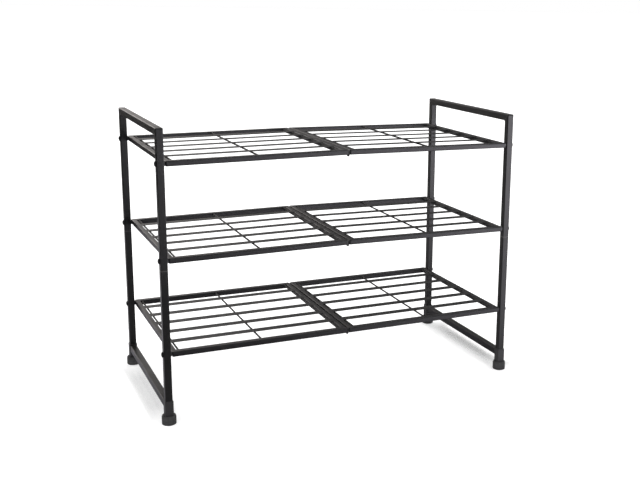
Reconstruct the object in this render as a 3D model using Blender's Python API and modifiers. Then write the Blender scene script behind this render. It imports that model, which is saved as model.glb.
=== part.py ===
"""A three-tier shoe rack in black painted steel tube, as an assembly of separate pieces.

Metres, +Z up. The origin is on the floor under the middle of the rack, +X runs along its length to the
right and -Y is its front. Two side frames carry three tiers. Each tier is two welded half-shelves, bolted
to the posts at their outer corners and clipped together in the middle.
"""

import math

import bmesh
import bpy
from mathutils import Matrix, Vector

# Overall size, over the posts and the handles.
LENGTH = 0.7366
DEPTH = 0.3556
HEIGHT = 0.5588

# Gap between touching pieces.
GAP = 0.0003

# Square tube of the side frames.
TUBE = 0.0135
TUBE_WALL = 0.0010
TUBE_EDGE = 0.0009
FRAME_OUTER_CORNER = 0.0022
FRAME_INNER_CORNER = 0.0030
JOINT_Z = 0.2982
SPIGOT_LENGTH = 0.0300
SPIGOT_WALL = 0.0010
SPIGOT_EDGE = 0.0006

# Base frames: two sleeves that hold the lower posts, and a crossbar between them.
SLEEVE = 0.0160
SLEEVE_WALL = 0.00095
SLEEVE_TOP = 0.0465
CROSSBAR_TOP = 0.0438
VENT_DIAMETER = 0.0050

# Feet.
FOOT_DIAMETER = 0.0270
FOOT_HEIGHT = 0.0175
FOOT_SIDE_TOP = 0.0135
FOOT_TOP_DIAMETER = 0.0244
FOOT_FLOOR = 0.0040
FOOT_ROUNDING = 0.0015

# Tiers: the height of the lowest shelf's top, the distance between tiers, and how far each tier rises
# from its posts to its middle joint.
FIRST_TIER = 0.1425
TIER_PITCH = 0.1786
TIER_RISES = {"bottom": 0.0, "middle": 0.0032, "top": 0.0032}

# Half-shelves.
SIDE_CLEARANCE = 0.0022
MIDDLE_CLEARANCE = 0.0035
RAIL_HEIGHT = 0.0100
LONG_RAIL_WIDTH = 0.0135
END_RAIL_WIDTH = 0.0099
RAIL_WALL = 0.0010
RAIL_EDGE = 0.0015
PANEL_CORNER = 0.0020
SLAT_COUNT = 5
SLAT_PITCH = 0.0580
SLAT_WIDTH = 0.0180
SLAT_THICKNESS = 0.0008
SLAT_DROP = 0.00005
WIRE_DIAMETER = 0.0036
WIRE_INSET = 0.0045
WIRE_SINK = 0.0002
NUT_WIDTH = 0.0065
NUT_LENGTH = 0.0040

# Bolts and washers.
BOLT_DIAMETER = 0.0048
BOLT_CLEARANCE = 0.0003
BOLT_HEAD_DIAMETER = 0.0108
BOLT_HEAD_HEIGHT = 0.0034
BOLT_HEAD_RIM = 0.0006
BOLT_REACH = 0.0070
SOCKET_WIDTH = 0.0036
SOCKET_DEPTH = 0.0016
WASHER_DIAMETER = 0.0092

# Centre clips.
PEG_DIAMETER = 0.0036
PEG_LENGTH = 0.0060
CLIP_TOP_DROP = 0.0012
CLIP_TIP_DROP = 0.0036
CLIP_TIP_WIDTH = 0.0050
CLIP_EDGE = 0.0004

# Worked out from the sizes above.
POST_X = (LENGTH - TUBE) / 2
POST_Y = (DEPTH - TUBE) / 2
SHELF_OUTER_X = LENGTH / 2 - TUBE - SIDE_CLEARANCE
SHELF_INNER_X = MIDDLE_CLEARANCE / 2
BOLT_DROP = RAIL_HEIGHT / 2
TIERS = {name: FIRST_TIER + i * TIER_PITCH for i, name in enumerate(TIER_RISES)}
SIDES = {"left": -1, "right": 1}
ENDS = {"front": -1, "rear": 1}

# How finely round shapes are divided.
ROUND_STEPS = 20
SMALL_STEPS = 12
WIRE_STEPS = 8
HEAD_STEPS = 16
ARC_STEPS = 3
SMOOTH_ANGLE = math.radians(35)
MERGE_DISTANCE = 0.000001

# Colour, roughness and metallic of each material.
MATERIALS = {
    "frame_paint": ((0.020, 0.019, 0.021), 0.38, 0.0),
    "shelf_paint": ((0.028, 0.026, 0.030), 0.42, 0.0),
    "foot_rubber": ((0.030, 0.030, 0.030), 0.70, 0.0),
    "bolt_black": ((0.012, 0.012, 0.013), 0.35, 0.6),
    "washer_plastic": ((0.040, 0.040, 0.044), 0.50, 0.0),
    "clip_plastic": ((0.018, 0.018, 0.018), 0.50, 0.0),
}

PARTS = "shoe_rack"
CUTTERS = "cutters"


def clear_scene():
    for obj in list(bpy.data.objects):
        bpy.data.objects.remove(obj, do_unlink=True)


def make_collection(name):
    collection = bpy.data.collections.new(name)
    bpy.context.scene.collection.children.link(collection)
    return collection


def make_material(name, colour, roughness, metallic):
    material = bpy.data.materials.new(name)
    material.use_nodes = True
    shader = material.node_tree.nodes["Principled BSDF"]
    shader.inputs["Base Color"].default_value = (*colour, 1.0)
    shader.inputs["Roughness"].default_value = roughness
    shader.inputs["Metallic"].default_value = metallic
    return material


def add_object(name, mesh, collection, material=None):
    obj = bpy.data.objects.new(name, mesh)
    collection.objects.link(obj)
    if material:
        mesh.materials.clear()
        mesh.materials.append(material)
    return obj


def mesh_from(name, bm):
    bmesh.ops.recalc_face_normals(bm, faces=bm.faces)
    mesh = bpy.data.meshes.new(name)
    bm.to_mesh(mesh)
    bm.free()
    return mesh


def box(name, low, high, edge=0.0, segments=2):
    """A box between two corners, with its edges rounded to the radius edge."""
    low, high = Vector(low), Vector(high)
    bm = bmesh.new()
    bmesh.ops.create_cube(bm, size=1.0)
    bmesh.ops.scale(bm, vec=high - low, verts=bm.verts)
    bmesh.ops.translate(bm, vec=(low + high) / 2, verts=bm.verts)
    if edge:
        bmesh.ops.bevel(
            bm, geom=bm.edges[:], offset=edge, segments=segments, profile=0.5, affect="EDGES"
        )
    return mesh_from(name, bm)


def upright_tube(name, centre, width, bottom, top, edge):
    """A solid square bar along Z with only its long edges rounded."""
    bm = bmesh.new()
    bmesh.ops.create_cube(bm, size=1.0)
    bmesh.ops.scale(bm, vec=(width, width, top - bottom), verts=bm.verts)
    bmesh.ops.translate(bm, vec=(*centre, (bottom + top) / 2), verts=bm.verts)
    if edge:
        upright = [e for e in bm.edges if abs(e.verts[0].co.z - e.verts[1].co.z) > width / 2]
        bmesh.ops.bevel(
            bm, geom=upright, offset=edge, segments=2, profile=0.5, affect="EDGES"
        )
    return mesh_from(name, bm)


def cylinder(name, axis, start, end, diameter, steps=ROUND_STEPS):
    """A round bar along one axis, between two points."""
    start, end = Vector(start), Vector(end)
    turn = {"X": Matrix.Rotation(math.pi / 2, 4, "Y"), "Y": Matrix.Rotation(math.pi / 2, 4, "X"),
            "Z": Matrix.Identity(4)}[axis]
    bm = bmesh.new()
    bmesh.ops.create_cone(
        bm, cap_ends=True, segments=steps, radius1=diameter / 2, radius2=diameter / 2,
        depth=(end - start).length, matrix=Matrix.Translation((start + end) / 2) @ turn,
    )
    return mesh_from(name, bm)


def turned(name, profile, steps=ROUND_STEPS):
    """A solid of revolution about Z from (radius, height) points, listed from the top to the bottom."""
    bm = bmesh.new()
    verts = [bm.verts.new((radius, 0.0, height)) for radius, height in profile]
    for upper, lower in zip(verts, verts[1:]):
        bm.edges.new((upper, lower))
    mesh = bpy.data.meshes.new(name)
    bm.to_mesh(mesh)
    bm.free()
    obj = add_object(name, mesh, bpy.context.scene.collection)
    screw = obj.modifiers.new("turn", "SCREW")
    screw.axis = "Z"
    screw.steps = steps
    screw.render_steps = steps
    screw.use_merge_vertices = True
    screw.merge_threshold = MERGE_DISTANCE
    return evaluated_mesh(obj)


def evaluated_mesh(obj):
    """The object's finished mesh, in place of the object."""
    graph = bpy.context.evaluated_depsgraph_get()
    mesh = bpy.data.meshes.new_from_object(obj.evaluated_get(graph))
    mesh.transform(obj.matrix_world)
    bm = bmesh.new()
    bm.from_mesh(mesh)
    bmesh.ops.remove_doubles(bm, verts=bm.verts, dist=MERGE_DISTANCE)
    bmesh.ops.recalc_face_normals(bm, faces=bm.faces)
    bm.to_mesh(mesh)
    bm.free()
    bpy.data.objects.remove(obj, do_unlink=True)
    return mesh


def rounded_corner(corner, before, after, radius):
    """Points of an arc that rounds an outline's right-angled corner."""
    corner, before, after = Vector(corner), Vector(before), Vector(after)
    to_before = (before - corner).normalized()
    to_after = (after - corner).normalized()
    centre = corner + radius * (to_before + to_after)
    points = []
    for i in range(ARC_STEPS + 1):
        angle = math.pi / 2 * i / ARC_STEPS
        points.append(centre - radius * (math.cos(angle) * to_after + math.sin(angle) * to_before))
    return points


def outline(corners, radii):
    """A closed outline with some of its corners rounded. A radius of 0 leaves a corner sharp."""
    points = []
    for i, (corner, radius) in enumerate(zip(corners, radii)):
        if radius:
            points += rounded_corner(corner, corners[i - 1], corners[(i + 1) % len(corners)], radius)
        else:
            points.append(Vector(corner))
    return points


def flat_bar(name, outlines, thickness, edge, upright=False):
    """A flat piece from outlines in its own XY plane, with its long edges rounded to the radius edge.

    With upright set, the outline's X and Y become the world's Y and Z.
    """
    curve = bpy.data.curves.new(name, "CURVE")
    curve.dimensions = "2D"
    curve.fill_mode = "BOTH"
    curve.extrude = thickness / 2 - edge
    curve.bevel_depth = edge
    curve.bevel_resolution = 1
    curve.offset = -edge
    for points in outlines:
        spline = curve.splines.new("POLY")
        spline.points.add(len(points) - 1)
        for point, (x, y) in zip(spline.points, points):
            point.co = (x, y, 0.0, 1.0)
        spline.use_cyclic_u = True
    obj = bpy.data.objects.new(name, curve)
    bpy.context.scene.collection.objects.link(obj)
    if upright:
        obj.matrix_world = Matrix(((0, 0, 1, 0), (1, 0, 0, 0), (0, 1, 0, 0), (0, 0, 0, 1)))
    bpy.context.view_layer.update()
    return evaluated_mesh(obj)


def combine(name, base, steps, parts, cutters, material):
    """Joins or cuts a mesh by others in order, and keeps the result as one finished piece.

    steps is a list of (operation, mesh), where the operation is UNION or DIFFERENCE.
    """
    piece = add_object(name, base, parts, material)
    helpers = []
    for i, (operation, mesh) in enumerate(steps):
        helper = add_object(f"{name}_{operation.lower()}_{i}", mesh, cutters)
        helper.hide_render = True
        helper.display_type = "WIRE"
        helpers.append(helper)
        modifier = piece.modifiers.new(helper.name, "BOOLEAN")
        modifier.operation = operation
        modifier.solver = "EXACT"
        modifier.object = helper
    bpy.context.view_layer.update()
    mesh = bpy.data.meshes.new_from_object(
        piece.evaluated_get(bpy.context.evaluated_depsgraph_get())
    )
    piece.modifiers.clear()
    piece.data = mesh
    mesh.materials.clear()
    mesh.materials.append(material)
    for helper in helpers:
        bpy.data.objects.remove(helper, do_unlink=True)
    smooth(mesh)
    return piece


def smooth(mesh):
    mesh.shade_smooth()
    mesh.set_sharp_from_angle(angle=SMOOTH_ANGLE)


def bolt_hole(side, end, tier, first, last):
    """A cutter for a bolt's hole, along X from first to last, both measured outwards from the middle."""
    y = end * POST_Y
    z = TIERS[tier] - BOLT_DROP
    diameter = BOLT_DIAMETER + 2 * BOLT_CLEARANCE
    return cylinder("bolt_hole", "X", (side * first, y, z), (side * last, y, z), diameter, SMALL_STEPS)


def post_holes(side, end, tier):
    return bolt_hole(side, end, tier, POST_X - TUBE, POST_X + TUBE)


def side_frame_outline(inset):
    """The upside-down U in its own plane. inset shrinks it to the tube's bore and opens its lower ends."""
    outer_y = DEPTH / 2 - inset
    inner_y = DEPTH / 2 - TUBE + inset
    outer_top = HEIGHT - inset
    inner_top = HEIGHT - TUBE + inset
    bottom = JOINT_Z + GAP if inset == 0 else JOINT_Z - TUBE
    corners = [
        (-outer_y, bottom), (-outer_y, outer_top), (outer_y, outer_top), (outer_y, bottom),
        (inner_y, bottom), (inner_y, inner_top), (-inner_y, inner_top), (-inner_y, bottom),
    ]
    outer = max(FRAME_OUTER_CORNER - inset, 0.0)
    inner = FRAME_INNER_CORNER + inset
    return outline(corners, [0, outer, outer, 0, 0, inner, inner, 0])


def build_side_frame(side_name, side, parts, cutters, paint):
    """An upside-down U of square tube: a handle on top, and the upper half of two posts."""
    place = Matrix.Translation((side * POST_X, 0, 0))
    solid = flat_bar("side_frame", [side_frame_outline(0.0)], TUBE, TUBE_EDGE, upright=True)
    solid.transform(place)
    bore = flat_bar(
        "side_frame_bore", [side_frame_outline(TUBE_WALL)], TUBE - 2 * TUBE_WALL, 0.0, upright=True
    )
    bore.transform(place)
    steps = [("DIFFERENCE", bore)]
    for end in ENDS.values():
        for tier in ("middle", "top"):
            steps.append(("DIFFERENCE", post_holes(side, end, tier)))
    combine(f"upper_side_frame_{side_name}", solid, steps, parts, cutters, paint)


def build_lower_post(side_name, side, end_name, end, parts, cutters, paint):
    """A straight tube from its foot to the joint, with a reduced end that plugs into the side frame."""
    centre = (side * POST_X, end * POST_Y)
    bottom = FOOT_FLOOR + GAP
    bore = TUBE - 2 * TUBE_WALL
    spigot = bore - 2 * GAP
    spigot_top = JOINT_Z + SPIGOT_LENGTH
    spigot_bore = spigot - 2 * SPIGOT_WALL
    shoulder = JOINT_Z - 2 * TUBE_WALL
    solid = upright_tube("post", centre, TUBE, bottom, JOINT_Z, TUBE_EDGE)
    steps = [
        ("UNION", upright_tube("spigot", centre, spigot, shoulder, spigot_top, SPIGOT_EDGE)),
        ("DIFFERENCE", upright_tube("bore", centre, bore, bottom - TUBE, shoulder, 0.0)),
        ("DIFFERENCE", upright_tube("spigot_bore", centre, spigot_bore, shoulder - TUBE,
                                    spigot_top + TUBE, 0.0)),
        ("DIFFERENCE", post_holes(side, end, "bottom")),
        ("DIFFERENCE", post_holes(side, end, "middle")),
    ]
    combine(f"lower_post_{end_name}_{side_name}", solid, steps, parts, cutters, paint)


def build_base_frame(side_name, side, parts, cutters, paint):
    """A crossbar welded between two sleeves. Each sleeve holds a lower post and stands in a foot."""
    x = side * POST_X
    sleeve_bottom = FOOT_FLOOR + GAP
    bore = SLEEVE - 2 * SLEEVE_WALL
    bar_reach = POST_Y - SLEEVE / 2 + SLEEVE_WALL / 2
    low = (x - TUBE / 2, -bar_reach, CROSSBAR_TOP - TUBE)
    high = (x + TUBE / 2, bar_reach, CROSSBAR_TOP)
    hollow_reach = POST_Y - SLEEVE / 2 - TUBE_WALL
    hollow_low = (low[0] + TUBE_WALL, -hollow_reach, low[2] + TUBE_WALL)
    hollow_high = (high[0] - TUBE_WALL, hollow_reach, high[2] - TUBE_WALL)
    vent_z = CROSSBAR_TOP - TUBE / 2
    steps = []
    for end in ENDS.values():
        sleeve = upright_tube("sleeve", (x, end * POST_Y), SLEEVE, sleeve_bottom, SLEEVE_TOP,
                              TUBE_EDGE)
        steps.append(("UNION", sleeve))
    steps.append(("DIFFERENCE", box("hollow", hollow_low, hollow_high)))
    steps.append(("DIFFERENCE", cylinder("vent", "Y", (x, -POST_Y, vent_z), (x, POST_Y, vent_z),
                                         VENT_DIAMETER, SMALL_STEPS)))
    for end in ENDS.values():
        hole = upright_tube("sleeve_bore", (x, end * POST_Y), bore, 0.0, SLEEVE_TOP + TUBE, 0.0)
        steps.append(("DIFFERENCE", hole))
    crossbar = box("crossbar", low, high, TUBE_EDGE)
    combine(f"base_frame_{side_name}", crossbar, steps, parts, cutters, paint)


def build_foot(side_name, side, end_name, end, parts, cutters, rubber):
    """A round cap with a square cup that a sleeve stands in."""
    radius = FOOT_DIAMETER / 2
    profile = [(0.0, FOOT_HEIGHT), (FOOT_TOP_DIAMETER / 2, FOOT_HEIGHT)]
    chamfer = radius - FOOT_TOP_DIAMETER / 2
    for i in range(1, ARC_STEPS + 1):
        angle = math.pi / 2 * i / ARC_STEPS
        profile.append((radius - chamfer * (1 - math.sin(angle)),
                        FOOT_SIDE_TOP + (FOOT_HEIGHT - FOOT_SIDE_TOP) * math.cos(angle)))
    for i in range(ARC_STEPS):
        angle = math.pi / 2 * i / (ARC_STEPS - 1)
        profile.append((radius - FOOT_ROUNDING * (1 - math.cos(angle)),
                        FOOT_ROUNDING * (1 - math.sin(angle))))
    profile.append((0.0, 0.0))
    solid = turned("foot", profile)
    cup = upright_tube("cup", (0, 0), SLEEVE + 2 * GAP, FOOT_FLOOR, FOOT_HEIGHT + TUBE, TUBE_EDGE)
    foot = combine(f"foot_{end_name}_{side_name}", solid, [("DIFFERENCE", cup)], parts, cutters,
                   rubber)
    foot.location = (side * POST_X, end * POST_Y, 0)


def panel_outline(inset):
    """A half-shelf's outer and inner outlines, with its outer end at X = 0 and its middle end at +X.

    inset shrinks both towards the middle of the rails, for the rails' bore.
    """
    length = SHELF_OUTER_X - SHELF_INNER_X
    outer_y = POST_Y + LONG_RAIL_WIDTH / 2
    inner_y = POST_Y - LONG_RAIL_WIDTH / 2
    outer = [
        (inset, -outer_y + inset), (length - inset, -outer_y + inset),
        (length - inset, outer_y - inset), (inset, outer_y - inset),
    ]
    low_x = END_RAIL_WIDTH - inset
    high_x = length - END_RAIL_WIDTH + inset
    inner = [
        (low_x, -inner_y - inset), (low_x, inner_y + inset),
        (high_x, inner_y + inset), (high_x, -inner_y - inset),
    ]
    corner = max(PANEL_CORNER - inset, 0.0)
    return [outline(outer, [corner] * 4), outline(inner, [0] * 4)]


def panel_slats():
    """The five flat slats, level with the top of the rails and let into the end rails' walls."""
    length = SHELF_OUTER_X - SHELF_INNER_X
    reach = END_RAIL_WIDTH - RAIL_EDGE - RAIL_WALL / 2
    for i in range(SLAT_COUNT):
        y = (i - (SLAT_COUNT - 1) / 2) * SLAT_PITCH
        yield box(
            "slat",
            (reach, y - SLAT_WIDTH / 2, -SLAT_THICKNESS),
            (length - reach, y + SLAT_WIDTH / 2, -SLAT_DROP),
        )


def panel_wires():
    """The three round cross wires under the slats, from the front rail to the rear one."""
    length = SHELF_OUTER_X - SHELF_INNER_X
    z = -SLAT_THICKNESS - WIRE_DIAMETER / 2 + WIRE_SINK
    reach = POST_Y - LONG_RAIL_WIDTH / 2 + RAIL_WALL / 2
    near_end = END_RAIL_WIDTH + WIRE_INSET
    for x in (near_end, length / 2, length - near_end):
        yield cylinder("wire", "Y", (x, -reach, z), (x, reach, z), WIRE_DIAMETER, WIRE_STEPS)


def build_shelf(tier, side_name, side, parts, cutters, paint):
    """One welded half-shelf: a hollow frame of flat tube, slats, cross wires, nuts and peg holes.

    It is modelled with its outer end at X = 0 and its top at Z = 0, and mirrored for the right side.
    """
    length = SHELF_OUTER_X - SHELF_INNER_X
    place = Matrix.Translation((0, 0, -RAIL_HEIGHT / 2))
    solid = flat_bar("panel", panel_outline(0.0), RAIL_HEIGHT, RAIL_EDGE)
    solid.transform(place)
    bore = flat_bar("panel_bore", panel_outline(RAIL_WALL), RAIL_HEIGHT - 2 * RAIL_WALL, 0.0)
    bore.transform(place)
    z = -BOLT_DROP
    hole = BOLT_DIAMETER + 2 * BOLT_CLEARANCE
    peg_hole = PEG_DIAMETER + 2 * GAP
    steps = [("UNION", slat) for slat in panel_slats()]
    steps += [("UNION", wire) for wire in panel_wires()]
    steps.append(("DIFFERENCE", bore))
    for end in ENDS.values():
        y = end * POST_Y
        nut = box("nut", (RAIL_WALL / 2, y - NUT_WIDTH / 2, z - RAIL_HEIGHT / 2 + RAIL_WALL / 2),
                  (RAIL_WALL / 2 + NUT_LENGTH, y + NUT_WIDTH / 2, z + RAIL_HEIGHT / 2 - RAIL_WALL / 2))
        steps.append(("UNION", nut))
    for end in ENDS.values():
        y = end * POST_Y
        steps.append(("DIFFERENCE", cylinder("nut_hole", "X", (-TUBE, y, z),
                                             (NUT_LENGTH + 2 * RAIL_WALL, y, z), hole, SMALL_STEPS)))
        steps.append(("DIFFERENCE", cylinder("peg_hole", "X", (length - 2 * RAIL_WALL, y, z),
                                             (length + TUBE, y, z), peg_hole, SMALL_STEPS)))
    panel = combine(f"shelf_{tier}_{side_name}", solid, steps, parts, cutters, paint)
    slope = math.asin(TIER_RISES[tier] / length)
    to_side = Matrix.Rotation(-slope, 4, "Y")
    panel.data.transform(to_side)
    panel.data.transform(Matrix.Translation((-SHELF_OUTER_X, 0, TIERS[tier])))
    if side > 0:
        panel.data.transform(Matrix.Scale(-1, 4, (1, 0, 0)))
        panel.data.flip_normals()


def build_bolt(tier, side_name, side, end_name, end, parts, cutters, steel):
    """A dome-head socket screw, through a post and a washer into a half-shelf's corner."""
    head_radius = BOLT_HEAD_DIAMETER / 2
    shank_radius = BOLT_DIAMETER / 2
    shank_end = LENGTH / 2 + GAP - (SHELF_OUTER_X - BOLT_REACH)
    profile = [(0.0, BOLT_HEAD_HEIGHT)]
    for i in range(1, ARC_STEPS + 1):
        angle = math.pi / 2 * i / ARC_STEPS
        profile.append((head_radius * math.sin(angle),
                        BOLT_HEAD_RIM + (BOLT_HEAD_HEIGHT - BOLT_HEAD_RIM) * math.cos(angle)))
    profile += [(head_radius, 0.0), (shank_radius, 0.0), (shank_radius, -shank_end), (0.0, -shank_end)]
    solid = turned("bolt", profile, HEAD_STEPS)
    socket = cylinder("socket", "Z", (0, 0, BOLT_HEAD_HEIGHT - SOCKET_DEPTH),
                      (0, 0, BOLT_HEAD_HEIGHT + SOCKET_DEPTH),
                      SOCKET_WIDTH / math.cos(math.pi / 6), 6)
    bolt = combine(f"bolt_{tier}_{end_name}_{side_name}", solid, [("DIFFERENCE", socket)], parts,
                   cutters, steel)
    bolt.rotation_euler = (0, side * math.pi / 2, 0)
    bolt.location = (side * (LENGTH / 2 + GAP), end * POST_Y, TIERS[tier] - BOLT_DROP)


def build_washer(tier, side_name, side, end_name, end, parts, cutters, rubber):
    """The ring between a post and a half-shelf."""
    inner = SHELF_OUTER_X + GAP
    outer = POST_X - TUBE / 2 - GAP
    y = end * POST_Y
    z = TIERS[tier] - BOLT_DROP
    solid = cylinder("washer", "X", (side * inner, y, z), (side * outer, y, z), WASHER_DIAMETER,
                     HEAD_STEPS)
    hole = bolt_hole(side, end, tier, inner - TUBE, outer + TUBE)
    combine(f"washer_{tier}_{end_name}_{side_name}", solid, [("DIFFERENCE", hole)], parts, cutters,
            rubber)


def build_clip(tier, end_name, end, parts, cutters, plastic):
    """The web between two half-shelves, with a peg into each and a tapered tip below the rails."""
    y = end * POST_Y
    middle = TIERS[tier] + TIER_RISES[tier] - BOLT_DROP
    half = MIDDLE_CLEARANCE / 2 - GAP
    top = middle + RAIL_HEIGHT / 2 - CLIP_TOP_DROP
    bottom = middle - RAIL_HEIGHT / 2
    wide = LONG_RAIL_WIDTH / 2 - RAIL_EDGE
    narrow = CLIP_TIP_WIDTH / 2
    web_outline = [
        (y - wide, top), (y + wide, top), (y + wide, bottom), (y + narrow, bottom - CLIP_TIP_DROP),
        (y - narrow, bottom - CLIP_TIP_DROP), (y - wide, bottom),
    ]
    web = flat_bar("web", [[Vector(p) for p in web_outline]], 2 * half, CLIP_EDGE, upright=True)
    peg_reach = half + GAP + PEG_LENGTH
    pegs = cylinder("pegs", "X", (-peg_reach, y, middle), (peg_reach, y, middle), PEG_DIAMETER,
                    SMALL_STEPS)
    combine(f"centre_clip_{tier}_{end_name}", web, [("UNION", pegs)], parts, cutters, plastic)


def main():
    clear_scene()
    parts = make_collection(PARTS)
    cutters = make_collection(CUTTERS)
    materials = {name: make_material(name, *look) for name, look in MATERIALS.items()}
    paint = materials["frame_paint"]
    rubber = materials["foot_rubber"]
    steel = materials["bolt_black"]
    ring = materials["washer_plastic"]
    plastic = materials["clip_plastic"]
    for side_name, side in SIDES.items():
        build_side_frame(side_name, side, parts, cutters, paint)
        build_base_frame(side_name, side, parts, cutters, paint)
        for end_name, end in ENDS.items():
            build_lower_post(side_name, side, end_name, end, parts, cutters, paint)
            build_foot(side_name, side, end_name, end, parts, cutters, rubber)
    for tier in TIERS:
        for side_name, side in SIDES.items():
            build_shelf(tier, side_name, side, parts, cutters, materials["shelf_paint"])
            for end_name, end in ENDS.items():
                build_bolt(tier, side_name, side, end_name, end, parts, cutters, steel)
                build_washer(tier, side_name, side, end_name, end, parts, cutters, ring)
        for end_name, end in ENDS.items():
            build_clip(tier, end_name, end, parts, cutters, plastic)


main()
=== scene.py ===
"""Looks of the three-tier shoe rack: fine-meshed tube, slats, welds, screws and feet around the CAD frame.

Metres, +Z up, in the CAD's own frame: +X runs along the rack to the right and -Y is its front.
"""

import math

import bmesh
import bpy
from mathutils import Matrix, Vector, noise


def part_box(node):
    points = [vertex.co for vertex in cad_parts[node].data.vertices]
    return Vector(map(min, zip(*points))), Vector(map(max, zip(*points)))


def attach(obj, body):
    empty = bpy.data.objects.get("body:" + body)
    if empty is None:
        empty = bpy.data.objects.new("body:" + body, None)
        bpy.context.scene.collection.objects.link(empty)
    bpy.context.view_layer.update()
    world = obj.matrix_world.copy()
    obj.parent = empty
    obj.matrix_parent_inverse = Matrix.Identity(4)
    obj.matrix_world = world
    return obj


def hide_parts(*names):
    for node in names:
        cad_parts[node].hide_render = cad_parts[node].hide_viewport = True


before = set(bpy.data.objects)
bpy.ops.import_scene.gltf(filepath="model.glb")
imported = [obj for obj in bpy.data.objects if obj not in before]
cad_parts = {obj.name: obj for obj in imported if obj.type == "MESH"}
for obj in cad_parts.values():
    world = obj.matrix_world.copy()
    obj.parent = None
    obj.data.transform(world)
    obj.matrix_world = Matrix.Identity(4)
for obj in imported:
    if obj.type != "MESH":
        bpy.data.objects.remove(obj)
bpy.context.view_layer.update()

SIDES = {"left": -1, "right": 1}
ENDS = {"front": -1, "rear": 1}
TIERS = ("bottom", "middle", "top")

# Sizes that the CAD nodes' boxes don't give. GAP is the play between two neighbouring parts.
GAP = 0.0003

# Square tube, and the handle's corners with the weld seam across each.
TUBE_WALL = 0.0010
TUBE_EDGE = 0.0012
TUBE_END_EDGE = 0.0008
FRAME_OUTER_CORNER = 0.0022
FRAME_INNER_CORNER = 0.0030
SEAM_WIDTH = 0.0016
SEAM_HEIGHT = 0.00018
SEAM_FROM_CORNER = 0.0012
SEAM_TO_INSIDE = 0.0004

# The joint of an upper frame and a lower post: the spigot, and the lighter band, rubbed paint and a painted
# highlight along the joint, as (depth, height) pairs.
SPIGOT_SHOWN = 0.0040
SPIGOT_EDGE = 0.0001
JOINT_BAND = ((0.0012, -0.0009), (0.00002, -0.0008), (0.00002, 0.0006), (0.0012, 0.0007))

# Base frames.
SLEEVE = 0.0160
SLEEVE_WALL = 0.00095
SLEEVE_LIP = 0.0004
SLEEVE_LIP_STEPS = 4
SLEEVE_BORE_CORNER = 0.0003
SLEEVE_BORE_LIP = 0.0001
CROSSBAR_DROP = 0.0027
CROSSBAR_END_EDGE = 0.0002
BASE_BEAD_WIDTH = 0.0022
BASE_BEAD_HEIGHT = 0.0008
BASE_BEAD_INSET = 0.0010

# Feet. Their sole, top and mould line are shares of the radius or the height.
FOOT_EDGE = 0.0015
FOOT_SOLE = (0.62, 0.66)
SOLE_DISH = 0.0006
FOOT_TOP = 0.904
FOOT_SHOULDER = 0.77
MOULD_LINE_HEIGHT = 0.30
MOULD_LINE_DEPTH = 0.00018
MOULD_LINE_STEP = 0.0002

# The cup in a foot's top: its depth, its rim's chamfer, and its corners' reach as a share of its half-width.
CUP_SHOWN = 0.0030
CUP_LIP = 0.0003
CUP_CORNER = 1.33

# Half-shelves.
LONG_RAIL_WIDTH = 0.0135
END_RAIL_WIDTH = 0.0099
RAIL_EDGE = 0.0015
PANEL_CORNER = 0.0024
PANEL_INNER_CORNER = 0.0006
SLAT_COUNT = 5
SLAT_PITCH = 0.0580
SLAT_WIDTH = 0.0180
SLAT_THICKNESS = 0.0008
SLAT_EDGE = 0.00035
SLAT_END_EDGE = 0.0002
SLAT_DROP = 0.00005
SLAT_LET_IN = 0.0002
WIRE_DIAMETER = 0.0036
WIRE_INSET = 0.0045
WIRE_SINK = 0.0002
WIRE_LET_IN = 0.0008

# The shelves' welds: beads at the slats' ends, and nuggets given by their half-sizes along X, Y and Z.
SLAT_BEAD_WIDTH = 0.0020
SLAT_BEAD_HEIGHT = 0.0008
SLAT_BEAD_INSET = 0.0010
SLAT_BEAD_SINK = 0.00095
SLAT_BEAD_SHIFT = 0.0004
NUGGET_SINK = 0.0002
END_NUGGET = (0.0012, 0.0036, 0.0010)
END_NUGGET_SHIFT = 0.0001
CROSSING_NUGGET = (0.0021, 0.0030, 0.0006)
WIRE_NUGGET = (0.0024, 0.0011, 0.0020)

# Bolts, washers and clips.
BOLT_DIAMETER = 0.0048
BOLT_POINT = 0.0004
BOLT_HEAD_EDGE = 0.0002
BOLT_HEAD_RIM = 0.0006
BOLT_RIM_STEP = 0.0001
SOCKET_WIDTH = 0.0036
SOCKET_DEPTH = 0.0016
SOCKET_STEP = 0.0005
SOCKET_TIP = 0.0004
SOCKET_MOUTH = ((1.22, 0.00015), (1.155, 0.0003))  # (share of the socket's half-width, depth) pairs
WASHER_RIM = 0.0003
CLIP_TIP_WIDTH = 0.0050
CLIP_EDGE = 0.0004
PEG_RADIUS = 0.0018
PEG_CHAMFER = (0.0004, 0.0005)

# How finely round shapes are meshed, and the smallest sizes that matter to a mesh.
CORNER_STEPS = 5
ROUND_STEPS = 64
WIRE_STEPS = 24
WASHER_STEPS = 40
PEG_STEPS = 32
BEVEL_RESOLUTION = 3
SMOOTH_ANGLE = math.radians(40)
SMALLEST_CORNER = 0.00002
MERGE_DISTANCE = 0.000002

# Weld metal: a bead's rings are BEAD_STATION apart and it ripples every BEAD_RIPPLE.
BEAD_SIDES = 12
BEAD_STATION = 0.0007
BEAD_STATIONS_AT_LEAST = 8
BEAD_RIPPLE = 0.0018
BEAD_RIPPLE_SHARE = 0.14
BEAD_WANDER_SHARE = 0.12
BEAD_WANDER_RATE = 300
NUGGET_SWELL = 0.18
NUGGET_LUMPS = 1.7


# ---------------------------------------------------------------- mesh tools


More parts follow.
